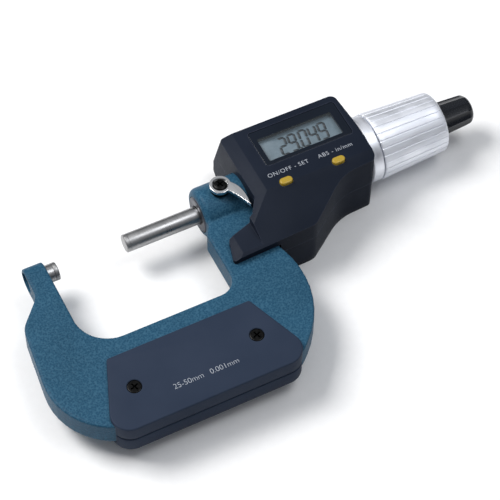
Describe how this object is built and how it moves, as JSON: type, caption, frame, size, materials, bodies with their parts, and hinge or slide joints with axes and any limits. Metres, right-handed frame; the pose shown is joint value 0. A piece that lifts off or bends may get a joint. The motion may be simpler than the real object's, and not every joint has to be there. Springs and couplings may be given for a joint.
{
  "type": "outside micrometer",
  "caption": "Digital outside micrometer for 25-50 mm with C-frame, grip plates, spindle lock, display head, fluted thimble and ratchet cap.",
  "frame": {"origin": "centre of the anvil's measuring face", "axes": "+X along the spindle axis from the anvil to the thimble, +Z out of the display, +Y away from the bow"},
  "size_m": [0.1854, 0.0948, 0.0288],
  "materials": {
    "blue_enamel": "hammer-tone enamel, slightly metallic",
    "polished_steel": "ground and polished",
    "carbide": "lapped carbide",
    "grip_plastic": "satin, finely textured",
    "black_plastic": "moulded, fine texture",
    "black_steel": "blackened",
    "chrome": "polished chrome plate",
    "brass": "machined",
    "yellow_plastic": "satin",
    "lens": "clear window with a black border",
    "display": "reflective liquid crystal",
    "board": "solder mask",
    "rubber": "matt",
    "battery_steel": "satin",
    "satin_aluminium": "satin"
  },
  "bodies": {
    "main_body": {"frame": "blue_enamel", "anvil": "polished_steel", "anvil_tip": "carbide", "spindle_bush": "polished_steel", "front_grip": "grip_plastic", "rear_grip": "grip_plastic", "front_grip_screw_left": "black_steel", "front_grip_screw_right": "black_steel", "rear_grip_screw_left": "black_steel", "rear_grip_screw_right": "black_steel", "clamp_shoe": "brass", "housing_front": "black_plastic", "housing_rear": "black_plastic", "housing_screw_1": "black_steel", "housing_screw_2": "black_steel", "housing_screw_3": "black_steel", "housing_screw_4": "black_steel", "display_lens": "lens", "lcd_panel": "display", "circuit_board": "board", "button_pad": "rubber", "battery": "battery_steel", "battery_contact": "brass", "battery_seal": "rubber", "stator_disc": "board", "barrel_sleeve": "polished_steel", "spindle_nut": "brass", "adjusting_nut": "polished_steel"},
    "rotor": {"rotor_disc": "brass", "rotor_key": "polished_steel"},
    "spindle_group": {"spindle": "polished_steel", "spindle_tip": "carbide", "thimble_tube": "satin_aluminium", "thimble_collar": "satin_aluminium", "thimble_grip": "satin_aluminium", "ratchet_disc": "black_steel", "ratchet_screw": "black_steel"},
    "ratchet_group": {"ratchet_cap": "black_plastic", "ratchet_clutch": "black_steel", "ratchet_spring": "polished_steel"},
    "lock_group": {"lock_lever": "chrome", "lock_screw": "black_steel", "lock_stem": "black_steel"},
    "left_button": {"button_on_off_set": "yellow_plastic"},
    "right_button": {"button_abs_unit": "yellow_plastic"},
    "battery_lid": {"battery_cover": "black_plastic"}
  },
  "joints": [
    {"name": "spindle_turn", "type": "hinge", "parent": "main_body", "child": "rotor", "pos_m": [0.08, 0, 0], "axis": [1, 0, 0], "range_deg": [0, 18000]},
    {"name": "spindle_feed", "type": "slide", "parent": "rotor", "child": "spindle_group", "axis": [1, 0, 0], "range_m": [0, 0.025]},
    {"name": "ratchet_spin", "type": "hinge", "parent": "spindle_group", "child": "ratchet_group", "pos_m": [0.155, 0, 0], "axis": [1, 0, 0], "continuous": true},
    {"name": "lock_turn", "type": "hinge", "parent": "main_body", "child": "lock_group", "pos_m": [0.0618, 0, 0.0127], "axis": [0, 0, -1], "range_deg": [0, 60]},
    {"name": "left_button_press", "type": "slide", "parent": "main_body", "child": "left_button", "axis": [0, 0, -1], "range_m": [0, 0.0004], "stiffness_N_per_m": 1200, "springref_m": -0.0004},
    {"name": "right_button_press", "type": "slide", "parent": "main_body", "child": "right_button", "axis": [0, 0, -1], "range_m": [0, 0.0004], "stiffness_N_per_m": 1200, "springref_m": -0.0004},
    {"name": "battery_cover_turn", "type": "hinge", "parent": "main_body", "child": "battery_lid", "pos_m": [0.1, 0.0139, -0.0125], "axis": [0, 0, -1], "range_deg": [0, 60]}
  ],
  "couplings": [
    {"joint": "spindle_turn", "follows": "spindle_feed", "rad_per_m": 12566}
  ]
}
